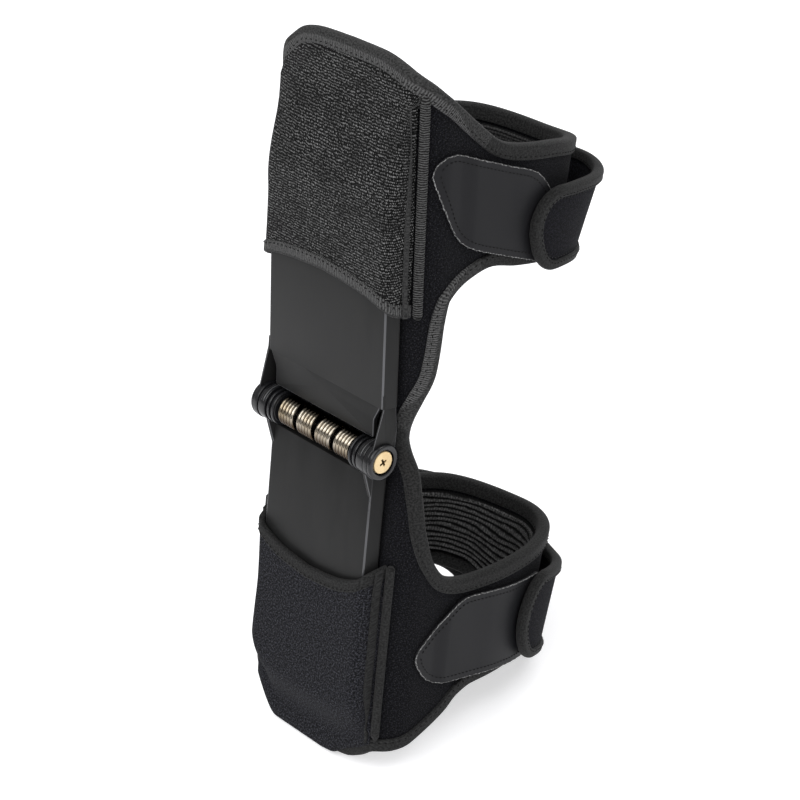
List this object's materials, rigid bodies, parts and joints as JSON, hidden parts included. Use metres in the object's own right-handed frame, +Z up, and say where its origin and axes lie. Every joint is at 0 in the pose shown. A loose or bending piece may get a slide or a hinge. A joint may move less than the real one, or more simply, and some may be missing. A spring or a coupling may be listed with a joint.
{
  "type": "spring knee brace",
  "caption": "Spring-assisted knee brace standing unworn: hinged thigh and shin plates in cloth pockets on a padded back panel with bound thigh and calf cuffs and hook-tab straps.",
  "frame": {"origin": "middle of the footprint at floor height", "axes": "+Z up, +X along the hinge shaft towards the side that faces the camera, +Y to the back of the leg"},
  "size_m": [0.1216, 0.1952, 0.3572],
  "materials": {
    "plate_plastic": "satin moulded",
    "shaft_steel": "turned",
    "spring_steel": "bronzed wire",
    "screw_brass": "bright",
    "panel_plush": "short pile",
    "pocket_cloth": "looped knit",
    "binding_cloth": "woven tape",
    "lining_cloth": "ribbed",
    "strap_web": "loop pile",
    "tab_leather": "satin, stitched"
  },
  "bodies": {
    "root": {"thigh_plate": "plate_plastic", "shin_plate": "plate_plastic", "hinge_shaft": "shaft_steel", "hinge_screw_right": "screw_brass", "hinge_screw_left": "screw_brass", "spring_1": "spring_steel", "spring_2": "spring_steel", "spring_3": "spring_steel", "spring_4": "spring_steel", "back_panel": "panel_plush", "panel_binding": "binding_cloth", "thigh_lining": "lining_cloth", "calf_lining": "lining_cloth", "thigh_pocket": "pocket_cloth", "shin_pocket": "pocket_cloth", "thigh_hem": "binding_cloth", "shin_hem": "binding_cloth", "thigh_tape_left": "binding_cloth", "shin_tape_left": "binding_cloth", "thigh_piping_left": "binding_cloth", "shin_piping_left": "binding_cloth", "thigh_tab_left": "tab_leather", "calf_tab_left": "tab_leather", "thigh_tape_right": "binding_cloth", "shin_tape_right": "binding_cloth", "thigh_piping_right": "binding_cloth", "shin_piping_right": "binding_cloth", "thigh_tab_right": "tab_leather", "calf_tab_right": "tab_leather", "thigh_strap": "strap_web", "calf_strap": "strap_web", "thigh_strap_binding": "binding_cloth", "calf_strap_binding": "binding_cloth"}
  },
  "joints": []
}
